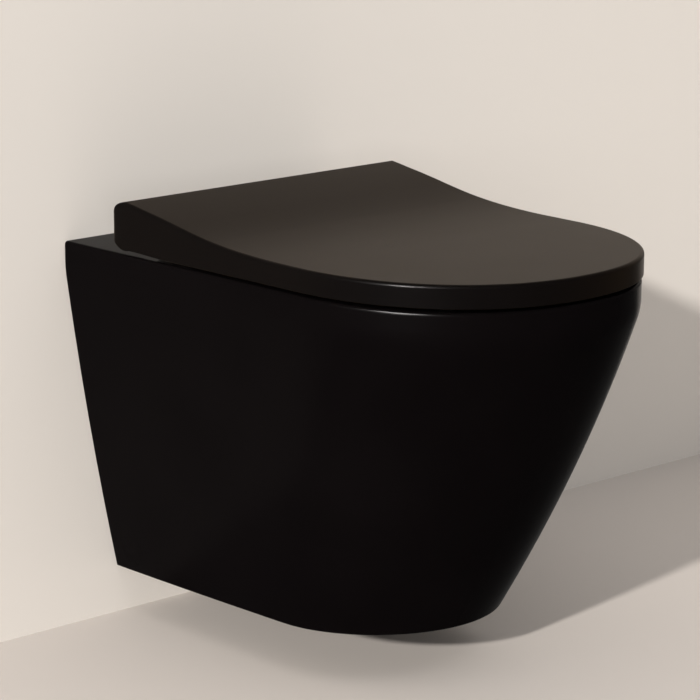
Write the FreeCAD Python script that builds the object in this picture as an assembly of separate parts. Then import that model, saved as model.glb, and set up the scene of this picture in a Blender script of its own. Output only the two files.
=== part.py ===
import FreeCAD, Part
import math
import os

# Wall hung toilet pan with a wrap-over soft-close lid and seat.
# Millimetres. +Z up, the wall is the plane Y = 0, the front points to -Y.
# Origin: on the wall plane, midway between the two fixing studs.

# ---------------------------------------------------------------- dimensions
STUD_SPACING = 180.0        # fixing studs, centre to centre
RIM_Z = 80.0                # flat top of the ceramic above the studs
OUTLET_Z = -100.0           # soil outlet centre below the studs
INLET_Z = 35.0              # flush inlet centre above the studs

PAN_HALF_WIDTH = 180.0      # ceramic at its top
PAN_REAR_HALF = 182.0       # the same at the wall
PAN_LENGTH = 545.0          # projection from the wall
PAN_HEIGHT = 347.0          # flat top to underside, halfway along
UNDER_REAR = 4.6            # the underside is this much lower at the wall
UNDER_FRONT = 0.8           # and this much higher at its front end
PAN_SIDE = 346.0            # straight side before the front curve starts
PAN_POWER = 2.176           # fullness of the front curve, top
BASE_REAR_HALF = 122.5      # underside, half width at the wall
BASE_SIDE_HALF = 126.5      # underside, half width before the front curve
BASE_SIDE = 268.0
BASE_LENGTH = 391.5
BASE_POWER = 1.955          # fullness of the front curve, underside
BAND = 28.0                 # upright band round the top
BAND_SOFT = 9.0             # softness of the crease below it
BOW_X = 0.228               # how much the sides bow
BOW_Y = 0.268               # how much the front bows
TOP_EDGE_R = 3.5
WALL = 11.0                 # ceramic wall
DECK = 14.0                 # ceramic thickness under the flat top
FLOOR_T = 10.0              # underside plate
BACK_T = 20.0               # rear flange

BOWL_REAR = 172.0           # bowl opening, distances from the wall
BOWL_FRONT = 488.0
BOWL_HALF = 126.0
BOWL_WALL = 10.0

TRAP_R = 27.0               # inside radius of the trap way
TRAP_WALL = 9.0
OUTLET_R_IN = 43.0
OUTLET_R = 51.0             # outlet spigot, outside
INLET_R = 27.5              # flush socket, inside
INLET_BOSS_R = 36.0
INLET_DEPTH = 52.0
FLUSH_R = 19.0              # water way from the socket to the bowl
PIPE_R = 22.5               # flush pipe that the seal takes

HINGE_Y = -98.0             # hinge axis
HINGE_Z = RIM_Z + 27.0
HINGE_X = 77.5              # seat fixing holes, half the spacing
PIN_R = 4.0
RUN = 0.06                  # radial play of the running fits

LID_OVER = 1.6              # lid stands proud of the ceramic
LID_T = 5.5
LID_SKIRT = 5.5
LID_LOW = 3.7               # lower edge of the lid above the ceramic
LID_EDGE_R = 3.4
LID_BACK = 23.6             # rear of the lid behind the hinge axis
LID_CORNER_R = 9.0
# side outline of the lid's top: distance from the wall, height over the ceramic
LID_TOP = [(98.0, 52.3), (104.0, 51.5), (112.0, 50.2), (124.0, 48.3),
           (136.0, 46.5), (148.0, 44.5), (160.0, 42.4), (172.0, 40.2),
           (184.0, 38.0), (196.0, 35.9), (208.0, 34.0), (220.0, 32.3),
           (232.0, 30.9), (244.0, 29.7), (256.0, 28.7), (268.0, 27.9),
           (280.0, 27.3), (292.0, 26.8), (306.0, 26.4), (322.0, 26.2),
           (345.0, 26.0)]

SEAT_IN = 8.5               # seat edge inside the ceramic's outline
SEAT_LOW = 4.0              # underside of the seat above the ceramic
SEAT_TOP = 17.5
SEAT_REAR = 117.0
SEAT_HOLE_REAR = 186.0
SEAT_HOLE_FRONT = 476.0
SEAT_HOLE_HALF = 113.0

V = FreeCAD.Vector


def edge_through(points):
    curve = Part.BSplineCurve()
    curve.interpolate([V(*p) for p in points])
    return curve.toShape()


def closed_through(points):
    curve = Part.BSplineCurve()
    curve.interpolate([V(*p) for p in points], PeriodicFlag=True)
    return curve.toShape()


def line(a, b):
    return Part.LineSegment(V(*a), V(*b)).toShape()


def box(x0, x1, y0, y1, z0, z1):
    return Part.makeBox(x1 - x0, y1 - y0, z1 - z0, V(x0, y0, z0))


def cyl(r, a, b):
    d = V(*b) - V(*a)
    return Part.makeCylinder(r, d.Length, V(*a), d)


def cone(r0, r1, a, b):
    d = V(*b) - V(*a)
    return Part.makeCone(r0, r1, d.Length, V(*a), d)


def smooth_levels(z):
    """How far down the taper a level is: 0 in the band, 1 at the underside."""
    d = -z - BAND
    if d <= -BAND_SOFT:
        d = 0.0
    elif d < BAND_SOFT:
        d = (d + BAND_SOFT) ** 2 / (4 * BAND_SOFT)
    return d / (PAN_HEIGHT - BAND)


def half_outline(half, rear, side, length, power, n_side=9, n_front=19):
    pts = []
    for i in range(n_side):
        s = i / (n_side - 1)
        pts.append((half - (half - rear) * (1 - s) ** 2, -side * s))
    for i in range(1, n_front):
        t = math.pi / 2 * i / (n_front - 1)
        c, s = math.cos(t), math.sin(t)
        c = 0.0 if i == n_front - 1 else c
        pts.append((half * c ** (2 / power), -side - (length - side) * s ** (2 / power)))
    return pts


TOP = half_outline(PAN_HALF_WIDTH, PAN_REAR_HALF, PAN_SIDE, PAN_LENGTH, PAN_POWER)
BASE = half_outline(BASE_SIDE_HALF, BASE_REAR_HALF, BASE_SIDE, BASE_LENGTH, BASE_POWER)


def section(z):
    """Half outline of the ceramic at a level z below its flat top."""
    u = smooth_levels(z)
    gx = u + BOW_X * (u * u - u)
    gy = u + BOW_Y * (u * u - u)
    return [(a[0] * (1 - gx) + b[0] * gx, a[1] * (1 - gy) + b[1] * gy)
            for a, b in zip(TOP, BASE)]


def offset(half, d):
    """The half outline moved outward by d, ends kept on Y = 0 and X = 0."""
    out = []
    n = len(half)
    for i, (x, y) in enumerate(half):
        a = half[max(i - 1, 0)]
        b = half[min(i + 1, n - 1)]
        tx, ty = b[0] - a[0], b[1] - a[1]
        if i == 0:
            nx, ny = 1.0, 0.0
        elif i == n - 1:
            nx, ny = 0.0, -1.0
        else:
            m = math.hypot(tx, ty)
            nx, ny = -ty / m, tx / m
        out.append((x + nx * d, y + ny * d))
    return out


def full(half, z):
    left = [(-x, y, z) for x, y in half]
    return left + [(x, y, z) for x, y in half[::-1][1:]]


def outline_wire(half, z):
    pts = full(half, z)
    return Part.Wire([edge_through(pts), line(pts[-1], pts[0])])


def clip_rear(half, y0):
    """Half outline cut off at y = y0 (towards the wall)."""
    out = []
    for a, b in zip(half, half[1:]):
        if a[1] > y0 >= b[1]:
            t = (y0 - a[1]) / (b[1] - a[1])
            out.append((a[0] + t * (b[0] - a[0]), y0))
        if b[1] < y0 - 1e-6:
            out.append(b)
    return out


def move_up(shape):
    shape.translate(V(0, 0, RIM_Z))
    return shape


def mirrored(shape):
    return shape.mirror(V(0, 0, 0), V(1, 0, 0))


def try_fillet(shape, radii, edges, label):
    for r in radii:
        try:
            s = shape.makeFillet(r, edges)
            if s.isValid() and s.Volume > 0:
                print("fillet", label, r)
                return s
        except Exception as e:
            pass
    print("fillet", label, "left out")
    return shape


def save(shape, name):
    s = shape
    print(name, "solids", len(s.Solids), "valid", s.isValid(),
          "volume cm3", round(s.Volume / 1000, 2))
    s.exportStep("parts/" + name + ".step")


os.makedirs("parts", exist_ok=True)

# ---------------------------------------------------------------- ceramic pan
soft = BAND - BAND_SOFT
band = Part.Face(outline_wire(section(0), -soft)).extrude(V(0, 0, soft - TOP_EDGE_R))
arcs = [math.pi / 2 * k / 6 for k in range(7)]
cap = Part.makeLoft(
    [outline_wire(offset(section(0), -TOP_EDGE_R * (1 - math.cos(a))),
                  -TOP_EDGE_R + TOP_EDGE_R * math.sin(a)) for a in arcs], True, True)
band = band.fuse(cap)
levels = [-soft, -22.5, -26, -30, -34, -40, -56, -85, -120, -160, -200, -240, -280,
          -315, -PAN_HEIGHT, -PAN_HEIGHT - 7]
taper = Part.makeLoft([outline_wire(section(z), z) for z in levels], True, False)
body = band.fuse(taper).removeSplitter()
# the underside runs down a little towards the wall
slope = (UNDER_REAR + UNDER_FRONT) / BASE_LENGTH
under = Part.Face(Part.makePolygon([
    V(-250, 10, -PAN_HEIGHT - UNDER_REAR - slope * 10),
    V(-250, -600, -PAN_HEIGHT - UNDER_REAR + slope * 600),
    V(-250, -600, -PAN_HEIGHT - 60), V(-250, 10, -PAN_HEIGHT - 60),
    V(-250, 10, -PAN_HEIGHT - UNDER_REAR - slope * 10)])).extrude(V(500, 0, 0))
body = body.cut(under)
inner_levels = [-DECK, -20, -28, -40, -56, -85, -120, -160, -200, -240, -280,
                -PAN_HEIGHT + FLOOR_T]
hollow = Part.makeLoft(
    [outline_wire(clip_rear(offset(section(z), -WALL), -BACK_T), z)
     for z in inner_levels], True, True)

BOWL = [  # depth, rear, front, half width
    (0.0, BOWL_REAR, BOWL_FRONT, BOWL_HALF),
    (-14.0, BOWL_REAR - 1, BOWL_FRONT, BOWL_HALF),
    (-45.0, BOWL_REAR, 484.0, 123.5),
    (-85.0, BOWL_REAR + 3, 468.0, 115.0),
    (-120.0, 181.0, 442.0, 102.0),
    (-155.0, 188.0, 406.0, 84.0),
    (-190.0, 196.0, 362.0, 65.0),
    (-220.0, 203.0, 325.0, 50.0),
    (-245.0, 209.0, 300.0, 38.0),
    (-262.0, 216.0, 284.0, 28.0),
]


def bowl_wire(z, rear, front, half, grow=0.0):
    c = (rear + front) / 2
    a = (front - rear) / 2 + grow
    b = half + grow
    pts = []
    for i in range(32):
        t = 2 * math.pi * i / 32
        e = 2 / 2.25
        ct, st = math.cos(t), math.sin(t)
        pts.append((b * math.copysign(abs(ct) ** e, ct),
                    -c + a * math.copysign(abs(st) ** e, st), z))
    return Part.Wire([closed_through(pts)])


bowl_in = Part.makeLoft([bowl_wire(*s) for s in [(6.0,) + BOWL[0][1:]] + BOWL[1:]], True, False)
bowl_out = Part.makeLoft([bowl_wire(*s, grow=BOWL_WALL) for s in BOWL[1:-1]]
                         + [bowl_wire(-272.0, 216.0, 284.0, 28.0, grow=BOWL_WALL)],
                         True, False)

# trap way: down from the sump, under the dip, up over the weir, back to the wall
tz = OUTLET_Z - RIM_Z
P = [(-252.0, -222.0), (-222.0, -292.0), (-112.0, tz - 6.0), (-60.0, tz - 6.0)]


def trap_path(pts, radii):
    edges = []
    last = pts[0]
    for i in range(1, len(pts) - 1):
        a, b, c = pts[i - 1], pts[i], pts[i + 1]
        u = ((a[0] - b[0]), (a[1] - b[1]))
        v = ((c[0] - b[0]), (c[1] - b[1]))
        lu, lv = math.hypot(*u), math.hypot(*v)
        u = (u[0] / lu, u[1] / lu)
        v = (v[0] / lv, v[1] / lv)
        ang = math.acos(u[0] * v[0] + u[1] * v[1])
        cut = radii[i - 1] / math.tan(ang / 2)
        s = (b[0] + u[0] * cut, b[1] + u[1] * cut)
        e = (b[0] + v[0] * cut, b[1] + v[1] * cut)
        w = (u[0] + v[0], u[1] + v[1])
        lw = math.hypot(*w)
        h = radii[i - 1] / math.sin(ang / 2) - radii[i - 1]
        m = (b[0] + w[0] / lw * h, b[1] + w[1] / lw * h)
        edges.append(line((0, last[0], last[1]), (0, s[0], s[1])))
        edges.append(Part.Arc(V(0, *s), V(0, *m), V(0, *e)).toShape())
        last = e
    edges.append(line((0, last[0], last[1]), (0, *pts[-1])))
    return Part.Wire(edges)


def trap_pipe(r):
    path = trap_path(P, (38.0, 44.0))
    d = V(0, P[1][0] - P[0][0], P[1][1] - P[0][1])
    start = Part.Wire([Part.makeCircle(r, V(0, *P[0]), d)])
    return path.makePipeShell([start], True, True)


trap_in = trap_pipe(TRAP_R)
trap_out = trap_pipe(TRAP_R + TRAP_WALL)
outlet_in = cyl(OUTLET_R_IN, (0, -62, tz), (0, 5, tz)).fuse(
    cone(TRAP_R, OUTLET_R_IN, (0, -96, tz - 3), (0, -62, tz)))
outlet_out = cyl(OUTLET_R, (0, -66, tz), (0, -1.5, tz)).fuse(
    cone(TRAP_R + TRAP_WALL, OUTLET_R, (0, -100, tz - 3), (0, -66, tz)))

iz = INLET_Z - RIM_Z
inlet_boss = cyl(INLET_BOSS_R, (0, -INLET_DEPTH - 8, iz), (0, 0, iz)).fuse(
    cyl(FLUSH_R + 9, (0, -178, iz), (0, -INLET_DEPTH, iz)))
inlet_way = cyl(INLET_R, (0, -INLET_DEPTH, iz), (0, 5, iz)).fuse(
    cyl(FLUSH_R, (0, -195, iz), (0, -INLET_DEPTH + 1, iz)))

inside = bowl_out.fuse(trap_out).fuse(outlet_out).fuse(inlet_boss)
ceramic = body.cut(hollow)
# the flange is open round the spigot, so that the soil connector can slide on
ceramic = ceramic.cut(cyl(64.0, (0, -BACK_T - 30, tz), (0, 5, tz)))
# pillars under the seat fixings are left solid round their holes
ceramic = ceramic.fuse(inside.common(body))
ceramic = ceramic.cut(bowl_in).cut(trap_in).cut(outlet_in).cut(inlet_way)
# underside opening, the way in to the fixing nuts
access = box(-88, 88, -150, -BACK_T - 6, -PAN_HEIGHT - 15, -PAN_HEIGHT + FLOOR_T + 8)
access = try_fillet(access, (22.0, 15.0),
                    [e for e in access.Edges if abs(e.BoundBox.ZLength) > 15], "access")
ceramic = ceramic.cut(access)
for sx in (-1, 1):
    x = sx * STUD_SPACING / 2
    ceramic = ceramic.cut(cyl(9.0, (x, -BACK_T - 5, -RIM_Z), (x, 5, -RIM_Z)))
    ceramic = ceramic.cut(cyl(7.0, (sx * HINGE_X, HINGE_Y, -DECK - 5),
                              (sx * HINGE_X, HINGE_Y, 5)))
lip = [e for e in ceramic.Edges
       if e.BoundBox.ZMin > -0.01 and e.BoundBox.ZMax < 0.01
       and e.BoundBox.YMax < -160 and e.BoundBox.YLength > 200 and e.BoundBox.XMax < 130]
ceramic = try_fillet(ceramic, (8.0, 6.0, 4.0, 3.0), lip, "bowl lip")
save(move_up(ceramic), "ceramic_pan")

# ---------------------------------------------------------------- wall fixings
sleeves, washers, nuts = [], [], []
for sx in (-1, 1):
    x = sx * STUD_SPACING / 2
    s = cyl(8.9, (x, -BACK_T - 2.5, 0), (x, -0.2, 0)).fuse(
        cyl(13.0, (x, -BACK_T - 2.5, 0), (x, -BACK_T, 0)))
    sleeves.append(s.cut(cyl(6.5, (x, -30, 0), (x, 1, 0))))
    w = cyl(12.0, (x, -BACK_T - 5.0, 0), (x, -BACK_T - 2.5, 0))
    washers.append(w.cut(cyl(6.5, (x, -30, 0), (x, 1, 0))))
    pts = [V(x + 10.97 * math.cos(math.radians(60 * k)), -BACK_T - 5.0,
             10.97 * math.sin(math.radians(60 * k))) for k in range(6)]
    n = Part.Face(Part.makePolygon(pts + [pts[0]])).extrude(V(0, -10.0, 0))
    n = n.common(cone(10.0, 16.0, (x, -BACK_T - 15.0, 0), (x, -BACK_T - 9.0, 0)).fuse(
        cyl(16.0, (x, -BACK_T - 9.0, 0), (x, -BACK_T - 5.0, 0))))
    nuts.append(n.cut(cyl(6.05, (x, -60, 0), (x, 1, 0))))
save(Part.makeCompound(sleeves), "stud_sleeves")
save(Part.makeCompound(washers), "stud_washers")
save(Part.makeCompound(nuts), "stud_nuts")

# rubber seal in the flush socket, with a flange against the wall side
seal = cyl(INLET_R - 0.05, (0, -30, INLET_Z), (0, -1.0, INLET_Z))
seal = seal.cut(cyl(PIPE_R, (0, -60, INLET_Z), (0, 1, INLET_Z)))
for y in (-24.0, -16.0, -8.0):
    seal = seal.cut(cyl(INLET_R + 1, (0, y - 2, INLET_Z), (0, y + 2, INLET_Z)).cut(
        cyl(INLET_R - 1.2, (0, y - 3, INLET_Z), (0, y + 3, INLET_Z))))
save(seal, "inlet_seal")

# ---------------------------------------------------------------- seat fixings
posts, rosettes, gaskets, plugs, cones_ = [], [], [], [], []
z = RIM_Z
for sx in (-1, 1):
    x = sx * HINGE_X
    gaskets.append(cyl(18.0, (x, HINGE_Y, z), (x, HINGE_Y, z + 1)).cut(
        cyl(4.4, (x, HINGE_Y, z - 1), (x, HINGE_Y, z + 3))))
    r = cyl(19.0, (x, HINGE_Y, z + 1), (x, HINGE_Y, z + 3))
    r = r.fuse(cone(19.0, 17.5, (x, HINGE_Y, z + 3), (x, HINGE_Y, z + 4)))
    rosettes.append(r.cut(cyl(4.1, (x, HINGE_Y, z), (x, HINGE_Y, z + 6))))
    p = cyl(4.0, (x, HINGE_Y, z - 42), (x, HINGE_Y, z + 4)).fuse(
        cyl(6.0, (x, HINGE_Y, z + 4), (x, HINGE_Y, z + 15.5))).fuse(
        cone(6.0, 4.8, (x, HINGE_Y, z + 15.5), (x, HINGE_Y, z + 17)))
    p = p.cut(cyl(7, (x, HINGE_Y, z + 9.6), (x, HINGE_Y, z + 11.8)).cut(
        cyl(5.0, (x, HINGE_Y, z + 9), (x, HINGE_Y, z + 12))))
    pts = [V(x + 2.9 * math.cos(math.radians(60 * k)),
             HINGE_Y + 2.9 * math.sin(math.radians(60 * k)), z + 12.5) for k in range(6)]
    p = p.cut(Part.Face(Part.makePolygon(pts + [pts[0]])).extrude(V(0, 0, 8)))
    posts.append(p)
    g = cyl(6.9, (x, HINGE_Y, z - DECK - 2), (x, HINGE_Y, z - 0.1)).fuse(
        cone(6.9, 8.6, (x, HINGE_Y, z - DECK - 2), (x, HINGE_Y, z - DECK - 8))).fuse(
        cone(8.6, 6.6, (x, HINGE_Y, z - DECK - 8), (x, HINGE_Y, z - DECK - 18)))
    plugs.append(g.cut(cyl(4.1, (x, HINGE_Y, z - 60), (x, HINGE_Y, z + 1))))
    c = cone(6.6, 5.6, (x, HINGE_Y, z - DECK - 18), (x, HINGE_Y, z - DECK - 26))
    cones_.append(c.cut(cyl(4.03, (x, HINGE_Y, z - 60), (x, HINGE_Y, z + 1))))
save(Part.makeCompound(gaskets), "hinge_gaskets")
save(posts[0], "hinge_post_left")
save(posts[1], "hinge_post_right")
save(rosettes[0], "rosette_left")
save(rosettes[1], "rosette_right")
save(Part.makeCompound(plugs), "expansion_plugs")
save(Part.makeCompound(cones_), "plug_nuts")

# ---------------------------------------------------------------- hinge blocks
# Built for the right side (+X) about the hinge axis, then mirrored.
BX0, BX1 = HINGE_X - 17.0, HINGE_X + 17.0
hy, hz = HINGE_Y, HINGE_Z
BLOCK_R = 12.0
SOCKET_TOP = z + 17.6
PLATE_Z0, PLATE_Z1 = z + 10.2, z + 11.2
PRESS = 2.0


def hinge_block():
    b = cyl(BLOCK_R, (BX0, hy, hz), (BX1, hy, hz)).fuse(
        box(BX0, BX1, hy - BLOCK_R, hy + BLOCK_R, z + 4.4, hz))
    b = b.removeSplitter()
    ends = [e for e in b.Edges if abs(e.BoundBox.XLength) < 0.01
            and (e.BoundBox.XMin < BX0 + 0.01 or e.BoundBox.XMax > BX1 - 0.01)
            and e.BoundBox.ZMax > z + 5]
    b = try_fillet(b, (1.2, 0.8), ends, "block")
    b = b.cut(cyl(6.12, (HINGE_X, hy, z), (HINGE_X, hy, SOCKET_TOP)))
    # damper bore, open on the inboard side
    b = b.cut(cyl(8.0, (BX0 - 1, hy, hz), (BX1 - 3.0, hy, hz)))
    b = b.cut(cyl(PIN_R + 0.2, (BX0 - 1, hy, hz), (BX1 + 1, hy, hz)))
    # pocket for the release button and slot for its latch plate
    b = b.cut(box(HINGE_X - 6.2, HINGE_X + 6.2, hy + 7.2, hy + 13, z + 6.9, z + 15.6))
    b = b.cut(box(HINGE_X - 9.3, HINGE_X + 9.3, hy - 11.1, hy + 13, PLATE_Z0 - 0.2,
                  PLATE_Z1 + 0.2))
    return b


block = hinge_block()
save(mirrored(block), "hinge_block_left")
save(block, "hinge_block_right")

damper = cyl(7.95, (BX0 + 0.5, hy, hz), (BX1 - 3.2, hy, hz))
for dx in (6.0, 20.0):
    damper = damper.cut(cyl(9, (BX0 + dx, hy, hz), (BX0 + dx + 1.2, hy, hz)).cut(
        cyl(7.4, (BX0 + dx - 1, hy, hz), (BX0 + dx + 3, hy, hz))))
damper = damper.cut(cyl(PIN_R + RUN, (BX0 - 5, hy, hz), (BX1 + 5, hy, hz)))
save(mirrored(damper), "damper_left")
save(damper, "damper_right")


def button():
    b = box(HINGE_X - 6.0, HINGE_X + 6.0, hy + 9.7, hy + 14.0, z + 7.1, z + 15.4)
    b = try_fillet(b, (0.8, 0.5), [e for e in b.Edges if e.BoundBox.YMin > hy + 13.9], "button")
    b = b.cut(box(HINGE_X - 9.5, HINGE_X + 9.5, hy + 9.0, hy + 11.2, PLATE_Z0, PLATE_Z1))
    # blind holes for the two return springs beside the plate
    for dx in (-3.9, 3.9):
        b = b.cut(cyl(1.7, (HINGE_X + dx, hy + 9.0, z + 13.5),
                      (HINGE_X + dx, hy + 12.8, z + 13.5)))
    return b


def latch_plate():
    p = box(HINGE_X - 9.0, HINGE_X + 9.0, hy - 8.9, hy + 11.2, PLATE_Z0, PLATE_Z1)
    w = box(HINGE_X - 6.15, HINGE_X + 6.15, hy, hy + PRESS, PLATE_Z0 - 1, PLATE_Z1 + 1)
    w = w.fuse(cyl(6.15, (HINGE_X, hy, PLATE_Z0 - 1), (HINGE_X, hy, PLATE_Z1 + 1)))
    w = w.fuse(cyl(6.15, (HINGE_X, hy + PRESS, PLATE_Z0 - 1),
                   (HINGE_X, hy + PRESS, PLATE_Z1 + 1)))
    return p.cut(w)


def springs():
    out = []
    for dx in (-3.9, 3.9):
        helix = Part.makeHelix(0.72, 3.0, 1.1)
        prof = Part.Wire([Part.makeCircle(0.28, V(1.1, 0, 0), V(0, 1, 0))])
        s = Part.Wire(helix).makePipeShell([prof], True, True)
        s.rotate(V(0, 0, 0), V(1, 0, 0), -90)
        s.translate(V(HINGE_X + dx, hy + 7.5, z + 13.5))
        out.append(s)
    return Part.makeCompound(out)


b, p = button(), latch_plate()
save(mirrored(b), "release_button_left")
save(b, "release_button_right")
save(mirrored(p), "latch_plate_left")
save(p, "latch_plate_right")
sp = springs()
save(mirrored(sp), "release_springs_left")
save(sp, "release_springs_right")

# ---------------------------------------------------------------- hinge pins, bushes
LUG_LID = (38.0, BX0 - 0.8)
LUG_SEAT = (BX1 + 0.8, BX1 + 21.0)
pin = cyl(PIN_R, (LUG_LID[0] + 0.5, hy, hz), (LUG_SEAT[1] - 0.5, hy, hz))
save(mirrored(pin), "hinge_pin_left")      # keyed to the lid
save(pin, "hinge_pin_right")               # keyed to the seat
bush_r = 6.4
seat_bush = cyl(bush_r, (LUG_SEAT[0], hy, hz), (LUG_SEAT[1], hy, hz)).cut(
    cyl(PIN_R + RUN, (LUG_SEAT[0] - 1, hy, hz), (LUG_SEAT[1] + 1, hy, hz)))
save(mirrored(seat_bush), "seat_bush")     # left, runs on the lid's pin
lid_bush = cyl(bush_r, (LUG_LID[0], hy, hz), (LUG_LID[1], hy, hz)).cut(
    cyl(PIN_R + RUN, (LUG_LID[0] - 1, hy, hz), (LUG_LID[1] + 1, hy, hz)))
save(lid_bush, "lid_bush")                 # right, runs on the seat's pin

# ---------------------------------------------------------------- seat ring
seat_half = clip_rear(offset(section(0), -SEAT_IN), -SEAT_REAR)
ring = Part.Face(outline_wire(seat_half, SEAT_LOW)).extrude(V(0, 0, SEAT_TOP - SEAT_LOW))
ring = try_fillet(ring, (24.0, 18.0, 12.0),
                  [e for e in ring.Edges if e.BoundBox.ZLength > 10
                   and e.BoundBox.YMin > -SEAT_REAR - 1 and abs(e.BoundBox.XLength) < 0.1],
                  "seat rear corners")
hole_face = Part.Face(bowl_wire(SEAT_LOW - 5, SEAT_HOLE_REAR, SEAT_HOLE_FRONT, SEAT_HOLE_HALF))
ring = ring.cut(hole_face.extrude(V(0, 0, 40)))
tops = [e for e in ring.Edges if e.BoundBox.ZMin > SEAT_TOP - 0.01]
ring = try_fillet(ring, (5.5, 4.5, 3.5, 2.5), tops, "seat top edges")
lows = [e for e in ring.Edges if e.BoundBox.ZMax < SEAT_LOW + 0.01]
ring = try_fillet(ring, (2.0, 1.5, 1.0), lows, "seat lower edges")
ring = move_up(ring)
for sx in (-1, 1):
    x0, x1 = sorted((sx * LUG_SEAT[0], sx * LUG_SEAT[1]))
    lug = cyl(10.0, (x0, hy, hz), (x1, hy, hz))
    web = Part.Face(Part.makePolygon([
        V(x0, hy - 9.6, hz + 2.5), V(x0, hy - SEAT_REAR + 98 - 14, z + SEAT_TOP - 1.0),
        V(x0, hy - SEAT_REAR + 98 - 14, z + SEAT_LOW + 1.5),
        V(x0, hy - 13.0, z + SEAT_LOW + 1.5), V(x0, hy - 2.0, hz - 9.7),
        V(x0, hy - 9.6, hz + 2.5)])).extrude(V(x1 - x0, 0, 0))
    ring = ring.fuse(lug).fuse(web)
ring = ring.removeSplitter()
ring = ring.cut(cyl(bush_r + 0.02, (-130, hy, hz), (-90, hy, hz)))
ring = ring.cut(cyl(PIN_R + 0.01, (90, hy, hz), (130, hy, hz)))
save(ring, "seat_ring")

buffers = []
for x, y in ((-142.0, -250.0), (142.0, -250.0), (-110.0, -468.0), (110.0, -468.0)):
    b = cyl(9.0, (x, y, z + 0.25), (x, y, z + SEAT_LOW))
    b = try_fillet(b, (1.0,), [e for e in b.Edges if e.BoundBox.ZMax < z + 0.3], "buffer")
    buffers.append(b)
save(Part.makeCompound(buffers), "seat_buffers")

# ---------------------------------------------------------------- lid
def side_prism(edges_, w=250.0):
    wire = Part.Wire(Part.__sortEdges__(edges_))
    return Part.Face(wire).extrude(V(2 * w, 0, 0))


def lid_top(drop, last):
    """The lid's top in side view, from in front of the lid to the rear."""
    pts = [(-585.0, 26.0), (-560.0, 26.0), (-520.0, 26.0), (-470.0, 26.0),
           (-420.0, 26.0), (-380.0, 26.0)]
    pts += [(-a, b) for a, b in LID_TOP[::-1]]
    pts += [(-88.0, 53.5), (last, 55.4)]
    curve = Part.BSplineCurve()
    curve.interpolate([V(-250.0, y, h - drop) for y, h in pts])
    return curve.toShape(), (-250.0,) + (pts[0][0], pts[0][1] - drop), \
        (-250.0,) + (pts[-1][0], pts[-1][1] - drop)


def lid_plan(d, rear_at, corner):
    half = clip_rear(offset(section(0), d), rear_at)
    f = Part.Face(outline_wire(half, -10)).extrude(V(0, 0, 90))
    if corner:
        f = try_fillet(f, (corner, corner * 0.8),
                       [e for e in f.Edges if e.BoundBox.ZLength > 80
                        and e.BoundBox.YMin > rear_at - 1 and e.BoundBox.XLength < 0.1],
                       "lid plan corners")
    return f


w = -250.0
rear_y = HINGE_Y + LID_BACK
far_y = rear_y + 8.0
top_edge, top_a, top_b = lid_top(0.0, far_y)
block_ = side_prism([top_edge, line(top_a, (w, top_a[1], LID_LOW)),
                     line((w, top_a[1], LID_LOW), (w, far_y, LID_LOW)),
                     line((w, far_y, LID_LOW), top_b)])
lid = lid_plan(LID_OVER, rear_y, LID_CORNER_R).common(block_)
long_edge = max([e for e in lid.Edges if e.BoundBox.ZMin > 20], key=lambda e: e.Length)
lid = try_fillet(lid, (LID_EDGE_R, 3.0, 2.5, 2.0), [long_edge], "lid top edge")
low_edge = max([e for e in lid.Edges if e.BoundBox.ZMax < LID_LOW + 0.01],
               key=lambda e: e.Length)
lid = try_fillet(lid, (0.8, 0.5), [low_edge], "lid lower edge")

# the rear end is rounded above, and runs round the hinge axis below
rear = Part.BSplineCurve()
rear.interpolate([V(w, rear_y, 25.0), V(w, rear_y - 0.9, 32.0), V(w, rear_y - 3.0, 39.0),
                  V(w, rear_y - 6.3, 45.0), V(w, rear_y - 11.2, 49.4), V(w, rear_y - 17.4, 52.0),
                  V(w, -99.0, 53.6), V(w, -112.0, 55.0)],
                 InitialTangent=V(0, 0, 1))
a0 = math.radians(-103)
arc_end = (HINGE_Y + 22.2 * math.cos(a0), 27.0 + 22.2 * math.sin(a0))
am = math.radians(-52)
arc = Part.Arc(V(w, *arc_end), V(w, HINGE_Y + 23.1 * math.cos(am), 27.0 + 23.1 * math.sin(am)),
               V(w, rear_y, 25.0)).toShape()
low_curve = Part.BSplineCurve()
low_curve.interpolate([V(w, -172.0, LID_LOW), V(w, -150.0, LID_LOW + 0.25),
                       V(w, -127.0, LID_LOW + 1.2), V(w, *arc_end)],
                      InitialTangent=V(0, 1, 0))
rear_cut = side_prism([
    rear.toShape(), arc, low_curve.toShape(),
    line((w, -172.0, LID_LOW), (w, -172.0, 0.0)), line((w, -172.0, 0.0), (w, -600.0, 0.0)),
    line((w, -600.0, 0.0), (w, -600.0, 80.0)), line((w, -600.0, 80.0), (w, -112.0, 80.0)),
    line((w, -112.0, 80.0), (w, -112.0, 55.0))])
lid = lid.common([rear_cut], 0.001)

# inside of the lid
in_edge, in_a, in_b = lid_top(LID_T, far_y)
in_block = side_prism([in_edge, line(in_a, (w, in_a[1], -6)), line((w, in_a[1], -6), (w, far_y, -6)),
                       line((w, far_y, -6), in_b)])
wall_y = rear_y - 5.6
in_rear = side_prism([
    edge_through([(w, -104.0, 56.0), (w, -98.5, 47.4), (w, -91.0, 44.8), (w, -84.9, 39.6),
                  (w, wall_y, 30.0)]),
    line((w, wall_y, 30.0), (w, wall_y, -6)), line((w, wall_y, -6), (w, -600.0, -6)),
    line((w, -600.0, -6), (w, -600.0, 56.0)), line((w, -600.0, 56.0), (w, -104.0, 56.0))])
lid = lid.cut(lid_plan(LID_OVER - LID_SKIRT, rear_y + 2.0, 0).common(in_block).common(in_rear))
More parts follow.
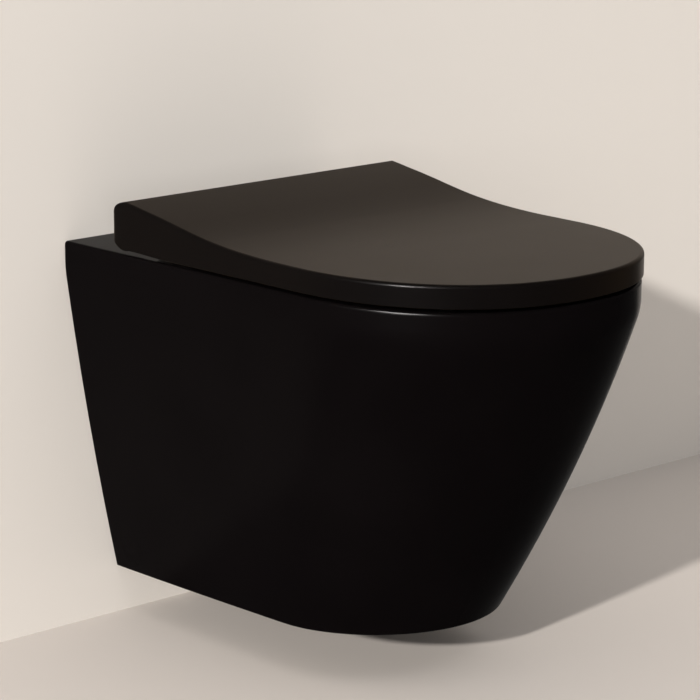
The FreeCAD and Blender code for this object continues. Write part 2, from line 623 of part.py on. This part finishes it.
# the rear wall is short between the ends, and open at the hinge blocks
lid = lid.cut(box(-150, 150, -93, -60, -6, 31.0))
for sx in (-1, 1):
    x0, x1 = sorted((sx * (BX0 - 3.0), sx * (BX1 + 3.0)))
    lid = lid.cut(box(x0, x1, -93, -60, -6, 45.6))
lid = move_up(lid)
for sx in (-1, 1):
    x0, x1 = sorted((sx * LUG_LID[0], sx * LUG_LID[1]))
    lug = cyl(10.0, (x0, hy, hz), (x1, hy, hz)).fuse(
        box(x0, x1, hy - 10.0, hy + 10.0, hz, hz + 21.0))
    lug = lug.cut(box(x0 - 1, x1 + 1, hy + 5.0, hy + 15, hz + 17.5, hz + 30))
    lid = lid.fuse(lug)
lid = lid.cut(cyl(bush_r + 0.02, (30, hy, hz), (65, hy, hz)))
lid = lid.cut(cyl(PIN_R + 0.01, (-65, hy, hz), (-30, hy, hz)))
save(lid, "seat_lid")

pads = []
zt = z + LID_TOP[-1][1] - LID_T
for x, y in ((-128.0, -360.0), (128.0, -360.0), (-62.0, -505.0), (62.0, -505.0)):
    b = cyl(5.0, (x, y, z + SEAT_TOP + 0.25), (x, y, zt))
    pads.append(b)
save(Part.makeCompound(pads), "lid_buffers")
print("done")
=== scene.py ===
import math

import bpy
from mathutils import Matrix, Vector

# Wall hung toilet pan with a wrap-over seat and lid, in satin matt black.
# Metres, the same frame as the solid model: wall at Y = 0, front to -Y, +Z up.

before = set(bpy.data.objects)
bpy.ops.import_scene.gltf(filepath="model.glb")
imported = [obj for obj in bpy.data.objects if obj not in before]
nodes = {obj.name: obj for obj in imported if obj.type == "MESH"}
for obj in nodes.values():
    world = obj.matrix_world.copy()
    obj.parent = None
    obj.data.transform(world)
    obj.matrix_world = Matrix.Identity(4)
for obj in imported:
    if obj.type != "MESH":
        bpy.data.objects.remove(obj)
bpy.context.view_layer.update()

FLOOR_Z = -0.3222
scene = bpy.context.scene
scene.view_settings.view_transform = "Standard"
scene.view_settings.look = "None"
scene.view_settings.exposure = 0.0
scene.view_settings.gamma = 1.0


# ------------------------------------------------------------------ camera
def make_camera():
    az, el, roll = math.radians(-42.861), math.radians(13.319), math.radians(0.231)
    back = Vector((math.sin(az) * math.cos(el), -math.cos(az) * math.cos(el), math.sin(el)))
    right = (-back).cross(Vector((0, 0, 1))).normalized()
    up = right.cross(-back)
    r2 = right * math.cos(roll) + up * math.sin(roll)
    u2 = up * math.cos(roll) - right * math.sin(roll)
    data = bpy.data.cameras.new("camera")
    data.sensor_width = 36.0
    data.lens = 36.0 * 2996.0 / 700.0
    data.clip_start, data.clip_end = 0.05, 60.0
    cam = bpy.data.objects.new("camera", data)
    scene.collection.objects.link(cam)
    m = Matrix((r2, u2, back)).transposed().to_4x4()
    m.translation = Vector((-1.97487, -2.35228, 0.66602))
    cam.matrix_world = m
    scene.camera = cam


make_camera()


# ------------------------------------------------------------------ node helpers
class Tree:
    """Short hand for building a material's nodes."""

    def __init__(self, name):
        self.mat = bpy.data.materials.new(name)
        self.mat.use_nodes = True
        self.t = self.mat.node_tree
        for n in list(self.t.nodes):
            self.t.nodes.remove(n)
        self.out = self.t.nodes.new("ShaderNodeOutputMaterial")
        self.bsdf = self.t.nodes.new("ShaderNodeBsdfPrincipled")
        self.t.links.new(self.bsdf.outputs["BSDF"], self.out.inputs["Surface"])
        self.co = self.t.nodes.new("ShaderNodeTexCoord").outputs["Object"]

    def link(self, a, b):
        self.t.links.new(a, b)

    def set(self, **values):
        for k, v in values.items():
            self.bsdf.inputs[k.replace("_", " ")].default_value = v

    def mapping(self, scale=(1, 1, 1), rotation=(0, 0, 0), location=(0, 0, 0)):
        n = self.t.nodes.new("ShaderNodeMapping")
        n.inputs["Scale"].default_value = scale
        n.inputs["Rotation"].default_value = rotation
        n.inputs["Location"].default_value = location
        self.link(self.co, n.inputs["Vector"])
        return n.outputs["Vector"]

    def noise(self, scale, detail=2.0, rough=0.5, vector=None, distortion=0.0):
        n = self.t.nodes.new("ShaderNodeTexNoise")
        n.inputs["Scale"].default_value = scale
        n.inputs["Detail"].default_value = detail
        n.inputs["Roughness"].default_value = rough
        n.inputs["Distortion"].default_value = distortion
        self.link(vector or self.co, n.inputs["Vector"])
        return n.outputs["Fac"]

    def voronoi(self, scale, vector=None, feature="F1"):
        n = self.t.nodes.new("ShaderNodeTexVoronoi")
        n.feature = feature
        n.inputs["Scale"].default_value = scale
        self.link(vector or self.co, n.inputs["Vector"])
        return n.outputs["Distance"]

    def ramp(self, fac, stops):
        n = self.t.nodes.new("ShaderNodeValToRGB")
        el = n.color_ramp.elements
        while len(el) < len(stops):
            el.new(0.5)
        for e, (p, c) in zip(el, stops):
            e.position = p
            e.color = (*c, 1.0) if len(c) == 3 else c
        self.link(fac, n.inputs["Fac"])
        return n.outputs["Color"]

    def span(self, fac, lo, hi, f0=0.0, f1=1.0):
        n = self.t.nodes.new("ShaderNodeMapRange")
        n.inputs["From Min"].default_value = f0
        n.inputs["From Max"].default_value = f1
        n.inputs["To Min"].default_value = lo
        n.inputs["To Max"].default_value = hi
        self.link(fac, n.inputs["Value"])
        return n.outputs["Result"]

    def add(self, a, b, ka=1.0, kb=1.0):
        def times(x, k):
            m = self.t.nodes.new("ShaderNodeMath")
            m.operation = "MULTIPLY"
            self.link(x, m.inputs[0])
            m.inputs[1].default_value = k
            return m.outputs[0]
        s = self.t.nodes.new("ShaderNodeMath")
        s.operation = "ADD"
        self.link(times(a, ka), s.inputs[0])
        self.link(times(b, kb), s.inputs[1])
        return s.outputs[0]

    def bump(self, height, distance, strength=1.0, normal=None):
        n = self.t.nodes.new("ShaderNodeBump")
        n.inputs["Strength"].default_value = strength
        n.inputs["Distance"].default_value = distance
        self.link(height, n.inputs["Height"])
        if normal is not None:
            self.link(normal, n.inputs["Normal"])
        return n.outputs["Normal"]

    def base(self, socket):
        self.link(socket, self.bsdf.inputs["Base Color"])

    def rough(self, socket):
        self.link(socket, self.bsdf.inputs["Roughness"])

    def normal(self, socket):
        self.link(socket, self.bsdf.inputs["Normal"])


def matt_glaze():
    """Satin matt black glaze: fine tooth, slow clouding, a slight ripple."""
    m = Tree("matt_black_glaze")
    cloud = m.noise(9.0, 4.0, 0.55)
    fine = m.noise(1400.0, 2.0, 0.6)
    ripple = m.noise(34.0, 1.0, 0.4)
    m.base(m.ramp(cloud, [(0.3, (0.0021, 0.0016, 0.0018)), (0.7, (0.0028, 0.0022, 0.0024))]))
    m.rough(m.span(m.add(cloud, fine, 0.7, 0.3), 0.19, 0.23, 0.3, 0.7))
    n = m.bump(ripple, 0.00022, 0.25)
    m.normal(m.bump(fine, 0.00002, 0.30, n))
    m.set(IOR=1.052)
    return m.mat


def matt_resin(name, lo, hi, r0, r1, seed):
    """Matt black moulded resin with a very fine spark texture."""
    m = Tree(name)
    v = m.mapping(location=(seed, seed * 0.7, -seed))
    cloud = m.noise(7.0, 4.0, 0.55, v)
    fine = m.noise(1900.0, 2.0, 0.55, v)
    wave = m.noise(16.0, 1.0, 0.3, v)
    m.base(m.ramp(cloud, [(0.3, lo), (0.7, hi)]))
    m.rough(m.span(m.add(cloud, fine, 0.6, 0.4), r0, r1, 0.3, 0.7))
    n = m.bump(wave, 0.00020, 0.15)
    m.normal(m.bump(fine, 0.000016, 0.35, n))
    m.set(IOR=1.067, Sheen_Weight=0.026, Sheen_Roughness=0.45, Sheen_Tint=(1.0, 0.64, 0.32, 1.0))
    return m.mat


def powder_coat():
    m = Tree("powder_coat_black")
    peel = m.noise(950.0, 3.0, 0.55)
    cloud = m.noise(60.0, 3.0, 0.5)
    m.base(m.ramp(cloud, [(0.3, (0.008, 0.008, 0.008)), (0.7, (0.013, 0.0125, 0.012))]))
    m.rough(m.span(peel, 0.34, 0.48, 0.3, 0.7))
    m.normal(m.bump(peel, 0.00006, 0.35))
    m.set(IOR=1.52)
    return m.mat


def turned(name, lo, hi, r0, r1, axis, metallic=1.0):
    """Turned metal: fine tool lines across the axis, with some tarnish."""
    m = Tree(name)
    s = {"x": (2600.0, 30.0, 30.0), "z": (30.0, 30.0, 2600.0)}[axis]
    lines = m.noise(1.0, 3.0, 0.6, m.mapping(scale=s))
    cloud = m.noise(120.0, 4.0, 0.6)
    m.base(m.ramp(m.add(cloud, lines, 0.7, 0.3), [(0.3, lo), (0.7, hi)]))
    m.rough(m.span(m.add(lines, cloud, 0.6, 0.4), r0, r1, 0.3, 0.7))
    m.normal(m.bump(lines, 0.00002, 0.4))
    m.set(Metallic=metallic)
    return m.mat


def rubber(name, lo, hi):
    m = Tree(name)
    cloud = m.noise(90.0, 4.0, 0.6)
    fine = m.noise(1500.0, 3.0, 0.6)
    m.base(m.ramp(m.add(cloud, fine, 0.7, 0.3), [(0.3, lo), (0.7, hi)]))
    m.rough(m.span(cloud, 0.68, 0.82, 0.3, 0.7))
    m.normal(m.bump(fine, 0.00008, 0.5))
    m.set(IOR=1.5)
    return m.mat


def moulded(name, lo, hi, r0, r1):
    m = Tree(name)
    cloud = m.noise(70.0, 3.0, 0.5)
    fine = m.noise(1100.0, 2.0, 0.5)
    m.base(m.ramp(cloud, [(0.3, lo), (0.7, hi)]))
    m.rough(m.span(m.add(cloud, fine, 0.5, 0.5), r0, r1, 0.3, 0.7))
    m.normal(m.bump(fine, 0.00004, 0.35))
    m.set(IOR=1.47)
    return m.mat


MATS = {
    "ceramic": matt_glaze(),
    "lid_resin": matt_resin("matt_black_lid", (0.0021, 0.0017, 0.0018), (0.0029, 0.0024, 0.0024),
                            0.27, 0.31, 0.31),
    "seat_resin": matt_resin("matt_black_seat", (0.0021, 0.0017, 0.0018), (0.0029, 0.0024, 0.0024),
                             0.27, 0.31, 1.7),
    "hinge_metal": powder_coat(),
    "steel": turned("turned_steel", (0.50, 0.49, 0.48), (0.66, 0.65, 0.64), 0.22, 0.36, "x"),
    "steel_post": turned("turned_steel_post", (0.50, 0.49, 0.48), (0.66, 0.65, 0.64), 0.22, 0.36, "z"),
    "brass": turned("turned_brass", (0.55, 0.40, 0.18), (0.75, 0.57, 0.29), 0.26, 0.40, "z"),
    "rubber": rubber("black_rubber", (0.010, 0.010, 0.010), (0.020, 0.0195, 0.019)),
    "rubber_grey": rubber("grey_rubber", (0.075, 0.076, 0.078), (0.12, 0.12, 0.118)),
    "pe_plastic": moulded("natural_polyethylene", (0.66, 0.66, 0.63), (0.76, 0.76, 0.73), 0.38, 0.5),
    "damper_plastic": moulded("grey_acetal", (0.16, 0.165, 0.175), (0.22, 0.225, 0.235), 0.32, 0.44),
    "button_plastic": moulded("satin_black_button", (0.012, 0.012, 0.012), (0.018, 0.0178, 0.0175),
                              0.28, 0.38),
}

SLOTS = {
    "ceramic_pan": "ceramic", "seat_lid": "lid_resin", "seat_ring": "seat_resin",
    "hinge_block_left": "hinge_metal", "hinge_block_right": "hinge_metal",
    "rosette_left": "hinge_metal", "rosette_right": "hinge_metal",
    "hinge_post_left": "steel_post", "hinge_post_right": "steel_post",
    "hinge_pin_left": "steel", "hinge_pin_right": "steel",
    "stud_washers": "steel", "stud_nuts": "steel",
    "latch_plate_left": "steel", "latch_plate_right": "steel",
    "release_springs_left": "steel", "release_springs_right": "steel",
    "plug_nuts": "brass",
    "hinge_gaskets": "rubber", "inlet_seal": "rubber", "expansion_plugs": "rubber_grey",
    "seat_buffers": "rubber_grey", "lid_buffers": "rubber_grey",
    "stud_sleeves": "pe_plastic", "seat_bush": "damper_plastic", "lid_bush": "damper_plastic",
    "damper_left": "damper_plastic", "damper_right": "damper_plastic",
    "release_button_left": "button_plastic", "release_button_right": "button_plastic",
}
for name, obj in nodes.items():
    obj.data.materials.clear()
    obj.data.materials.append(MATS[SLOTS[name]])


# ------------------------------------------------------------------ stage
def stage_material(name, colour, rough=0.9, one_sided=False):
    m = Tree(name)
    c = m.noise(1.3, 3.0, 0.5)
    m.base(m.ramp(c, [(0.3, tuple(x * 0.985 for x in colour)), (0.7, colour)]))
    m.set(Roughness=rough)
    m.bsdf.inputs["Specular IOR Level"].default_value = 0.2
    if one_sided:
        geo = m.t.nodes.new("ShaderNodeNewGeometry")
        mix = m.t.nodes.new("ShaderNodeMixShader")
        clear = m.t.nodes.new("ShaderNodeBsdfTransparent")
        m.link(geo.outputs["Backfacing"], mix.inputs["Fac"])
        m.link(m.bsdf.outputs["BSDF"], mix.inputs[1])
        m.link(clear.outputs["BSDF"], mix.inputs[2])
        m.link(mix.outputs["Shader"], m.out.inputs["Surface"])
    return m.mat


def half_outline(half, rear, side, length, power, n_side=9, n_front=19):
    pts = []
    for i in range(n_side):
        s = i / (n_side - 1)
        pts.append((half - (half - rear) * (1 - s) ** 2, -side * s))
    for i in range(1, n_front):
        t = math.pi / 2 * i / (n_front - 1)
        c, s = math.cos(t), math.sin(t)
        c = 0.0 if i == n_front - 1 else c
        pts.append((half * c ** (2 / power), -side - (length - side) * s ** (2 / power)))
    return pts


def stage_mesh(name, verts, faces, mat):
    me = bpy.data.meshes.new(name)
    me.from_pydata(verts, [], faces)
    me.materials.append(mat)
    me.update()
    o = bpy.data.objects.new(name, me)
    scene.collection.objects.link(o)
    return o


W = 4.0
floor_mat = stage_material("pale_floor", (0.64, 0.60, 0.57), 0.8)
floor_front = stage_mesh("floor_front", [(-W, -6, FLOOR_Z), (W, -6, FLOOR_Z), (W, 0.001, FLOOR_Z), (-W, 0.001, FLOOR_Z)],
                         [(0, 1, 2, 3)], floor_mat)
floor_rear = stage_mesh("floor_rear", [(-W, 0.001, FLOOR_Z), (W, 0.001, FLOOR_Z), (W, 6, FLOOR_Z), (-W, 6, FLOOR_Z)],
                        [(0, 1, 2, 3)], floor_mat)

# the wall is open behind the pan, where its flange covers it
wall_mat = stage_material("pale_wall", (0.77, 0.74, 0.705), 0.9, one_sided=True)
edge = []
for k in range(13):
    z = 0.076 - k * (0.076 + 0.263) / 12
    u = max(0.0, -(z - 0.080) - 0.028) / 0.319
    g = u + 0.228 * (u * u - u)
    edge.append((0.180 * (1 - g) + 0.1225 * g - 0.004, z))
ring = [(x, 0.001, z) for x, z in edge] + [(-x, 0.001, z) for x, z in edge[::-1]]
k = len(edge)
verts = ring + [(W, 0.001, FLOOR_Z), (-W, 0.001, FLOOR_Z), (W, 0.001, 0.076), (-W, 0.001, 0.076)]
n = len(ring)
lower = [
    list(range(k)) + [n, n + 2],                     # right of the hole
    [k - 1, k, n + 1, n],                            # under it
    list(range(k, 2 * k)) + [n + 3, n + 1],          # left of it
]
wall_lower = stage_mesh("wall_lower", verts, lower, wall_mat)
wall_upper = stage_mesh("wall_upper", [(-W, 0.001, 0.076), (W, 0.001, 0.076), (W, 0.001, 3.0), (-W, 0.001, 3.0)],
                        [(0, 1, 2, 3)], wall_mat)
# the ceramic's dark sides don't mirror the bright stage below the rim
for o in (floor_front, wall_lower):
    o.visible_glossy = False


# ------------------------------------------------------------------ light
def area(name, at, to, size, power, colour=(1, 1, 1), size_y=None, only=None, glossy=True):
    data = bpy.data.lights.new(name, "AREA")
    data.energy = power
    data.color = colour
    data.shape = "RECTANGLE" if size_y else "DISK"
    data.size = size
    if size_y:
        data.size_y = size_y
    o = bpy.data.objects.new(name, data)
    scene.collection.objects.link(o)
    at, to = Vector(at), Vector(to)
    o.location = at
    o.rotation_mode = "QUATERNION"
    o.rotation_quaternion = (to - at).to_track_quat("-Z", "Y")
    o.visible_glossy = glossy
    if only is not None:
        col = bpy.data.collections.new(name + "_lit")
        for x in only:
            col.objects.link(x)
        o.light_linking.receiver_collection = col
    return o


def sun(name, az, el, power, angle, colour=(1, 1, 1), gloss_on=None):
    data = bpy.data.lights.new(name, "SUN")
    data.energy = power
    data.angle = math.radians(angle)
    data.color = colour
    o = bpy.data.objects.new(name, data)
    scene.collection.objects.link(o)
    a, e = math.radians(az), math.radians(el)
    back = Vector((math.cos(a) * math.cos(e), math.sin(a) * math.cos(e), math.sin(e)))
    o.rotation_mode = "QUATERNION"
    o.rotation_quaternion = (-back).to_track_quat("-Z", "Y")
    if gloss_on is not None:
        o.visible_diffuse = False
        col = bpy.data.collections.new(name + "_lit")
        for x in gloss_on:
            col.objects.link(x)
        o.light_linking.receiver_collection = col
    return o


sun("key", -159.5, 20.3, 3.9, 2.2, (1.0, 0.95, 0.89))
sun("key_shine", -167.3, 20.3, 38.0, 8.0, (1.0, 0.97, 0.95),
    gloss_on=[nodes["seat_lid"], nodes["seat_ring"]])
sun("rim_shine", -170.5, 20.3, 135.0, 29.0, (1.0, 0.97, 0.95), gloss_on=[nodes["ceramic_pan"]])
area("window", (-4.2, -4.4, 0.8), (0, -0.2, -0.1), 3.0, 55, (1.0, 0.97, 0.95), size_y=1.8, glossy=False)
area("over", (-0.2, -1.6, 2.5), (0, 0.0, 0.1), 3.0, 25, (1.0, 0.98, 0.97), size_y=2.6, glossy=False)
area("rear", (-0.9, 1.7, 1.5), (0, 0.0, -0.1), 1.2, 60, (1.0, 0.975, 0.94), only=list(nodes.values()))
area("rear_floor", (0.0, 2.2, 2.4), (0, 2.0, FLOOR_Z), 3.5, 70, (1.0, 0.975, 0.94), only=[floor_rear])

world = bpy.data.worlds.new("studio")
scene.world = world
world.use_nodes = True
wt = world.node_tree
for x in list(wt.nodes):
    wt.nodes.remove(x)
w_out = wt.nodes.new("ShaderNodeOutputWorld")
w_dim = wt.nodes.new("ShaderNodeBackground")
w_dim.inputs["Color"].default_value = (1.0, 0.97, 0.93, 1)
w_co = wt.nodes.new("ShaderNodeTexCoord")
w_sep = wt.nodes.new("ShaderNodeSeparateXYZ")
w_span = wt.nodes.new("ShaderNodeMapRange")
w_span.inputs["From Min"].default_value = -0.15
w_span.inputs["From Max"].default_value = 0.25
w_span.inputs["To Min"].default_value = 0.16
w_span.inputs["To Max"].default_value = 0.24
wt.links.new(w_co.outputs["Generated"], w_sep.inputs["Vector"])
wt.links.new(w_sep.outputs["Z"], w_span.inputs["Value"])
wt.links.new(w_span.outputs["Result"], w_dim.inputs["Strength"])
w_see = wt.nodes.new("ShaderNodeBackground")
w_see.inputs["Color"].default_value = (0.66, 0.63, 0.59, 1)
w_see.inputs["Strength"].default_value = 1.0
w_mix = wt.nodes.new("ShaderNodeMixShader")
w_path = wt.nodes.new("ShaderNodeLightPath")
wt.links.new(w_path.outputs["Is Camera Ray"], w_mix.inputs["Fac"])
wt.links.new(w_dim.outputs["Background"], w_mix.inputs[1])
wt.links.new(w_see.outputs["Background"], w_mix.inputs[2])
wt.links.new(w_mix.outputs["Shader"], w_out.inputs["Surface"])
